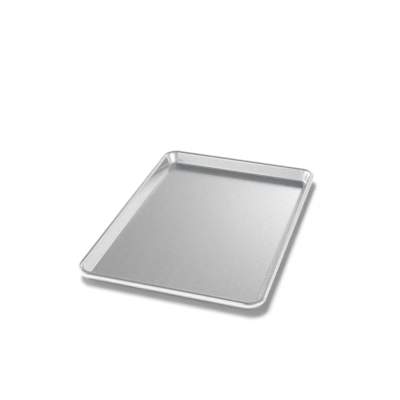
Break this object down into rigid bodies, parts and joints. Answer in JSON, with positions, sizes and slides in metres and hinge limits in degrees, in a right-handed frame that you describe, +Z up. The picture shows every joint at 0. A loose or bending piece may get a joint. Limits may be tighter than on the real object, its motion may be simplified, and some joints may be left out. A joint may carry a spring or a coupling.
{
  "type": "jelly roll pan",
  "caption": "Shallow rectangular aluminium baking pan with leaning walls, rounded corners and a rim rolled round a steel wire.",
  "frame": {"origin": "middle of the flat underside, on the surface that the pan stands on", "axes": "+Y along the pan's length, +X across its width, +Z up out of its open side"},
  "size_m": [0.266, 0.39, 0.0205],
  "materials": {
    "pan_sheet": "satin, natural, finely brushed along the width",
    "wire": "dull zinc-coated wire, enclosed by the rolled rim"
  },
  "bodies": {
    "root": {"pan_body": "pan_sheet", "rim_wire": "wire"}
  },
  "joints": []
}
